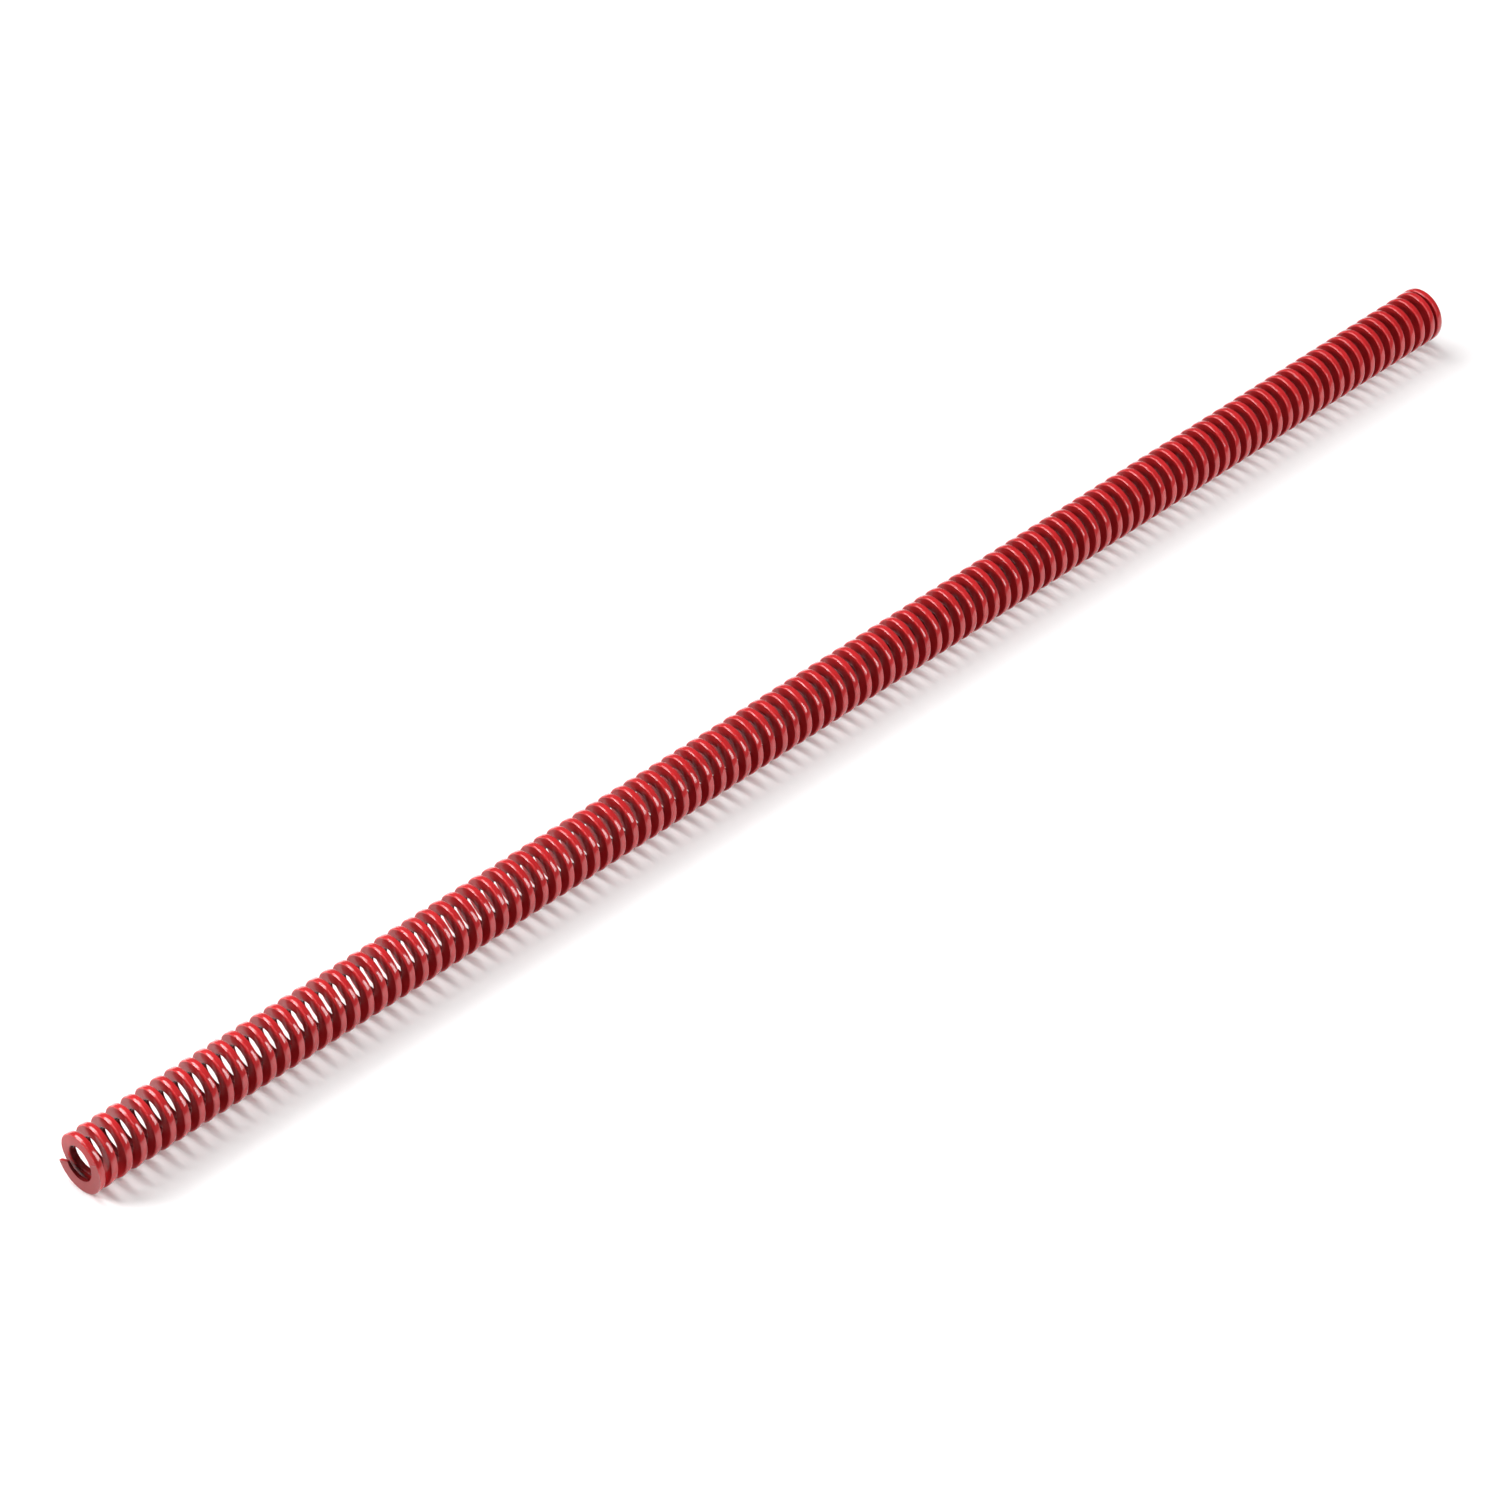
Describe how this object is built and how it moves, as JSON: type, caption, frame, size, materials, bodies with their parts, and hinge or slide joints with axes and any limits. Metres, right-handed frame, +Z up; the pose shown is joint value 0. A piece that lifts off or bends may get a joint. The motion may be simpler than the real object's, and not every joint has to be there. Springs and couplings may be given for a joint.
{
  "type": "die spring",
  "caption": "Long slender die spring of flat-sided wire, wound left hand, with closed and ground ends and glossy red paint.",
  "frame": {"origin": "on the surface that the spring lies on, under the middle of its length", "axes": "+X along the coil's axis, from the first ground end to the last; +Z up"},
  "size_m": [0.305, 0.0096, 0.0096],
  "materials": {
    "red_paint": "glossy red paint over spring steel"
  },
  "bodies": {
    "root": {"die_spring": "red_paint"}
  },
  "joints": []
}
